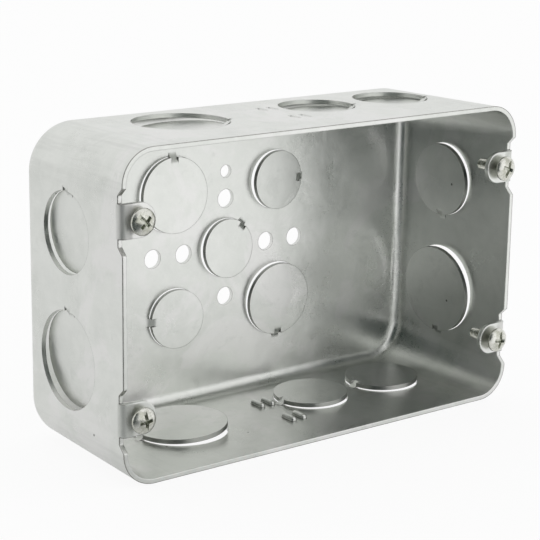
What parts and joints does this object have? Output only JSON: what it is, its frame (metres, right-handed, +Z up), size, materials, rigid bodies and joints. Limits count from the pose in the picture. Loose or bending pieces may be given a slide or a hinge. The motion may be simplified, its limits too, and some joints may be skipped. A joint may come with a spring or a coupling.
{
  "type": "two-gang switch box",
  "caption": "Deep drawn steel switch box for two devices, with pressed knockouts in every wall, fixing holes in the back, and cover screws in bent-in ears.",
  "frame": {"origin": "on the outer face of the lower long wall, half way along it and half way through the box's depth", "axes": "+Z up the box as it stands on its lower long wall, -Y out of the open front, +X to the right as seen from the front"},
  "size_m": [0.173, 0.066, 0.1125],
  "materials": {
    "galvanised_steel": "galvanised sheet, satin",
    "zinc_plated_steel": "bright zinc plate"
  },
  "bodies": {
    "root": {"switch_box_body": "galvanised_steel", "cover_screw_upper_left": "zinc_plated_steel", "cover_screw_upper_right": "zinc_plated_steel", "cover_screw_lower_left": "zinc_plated_steel", "cover_screw_lower_right": "zinc_plated_steel"}
  },
  "joints": []
}
